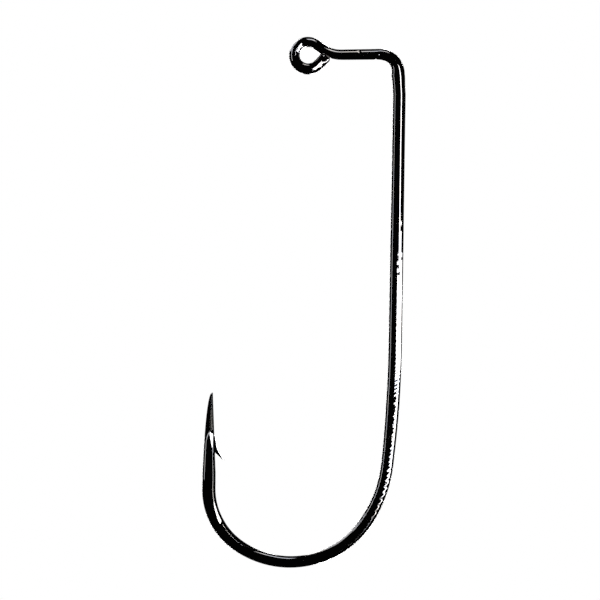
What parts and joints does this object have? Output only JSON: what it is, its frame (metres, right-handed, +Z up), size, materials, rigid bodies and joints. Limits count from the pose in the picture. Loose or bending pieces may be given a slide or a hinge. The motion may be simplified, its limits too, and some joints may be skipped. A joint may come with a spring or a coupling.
{
  "type": "jig hook",
  "caption": "Bare 90-degree jig hook of black nickel-plated wire: closed ring eye, square elbow, long forged shank, round bend, needle point and one barb.",
  "frame": {"origin": "centre of the bore of the ring eye", "axes": "+Z up the shank, from the bend to the eye; +X from the eye along the leg to the shank; +Y along the eye's axis, square to the plane that the hook lies in"},
  "size_m": [0.0203, 0.001, 0.0532],
  "materials": {
    "black_nickel_wire": "bright black nickel plating over hardened high-carbon steel wire"
  },
  "bodies": {
    "root": {"eye_ring": "black_nickel_wire", "eye_leg": "black_nickel_wire", "elbow": "black_nickel_wire", "shank": "black_nickel_wire", "bend": "black_nickel_wire", "spear": "black_nickel_wire", "point": "black_nickel_wire", "barb": "black_nickel_wire"}
  },
  "joints": []
}
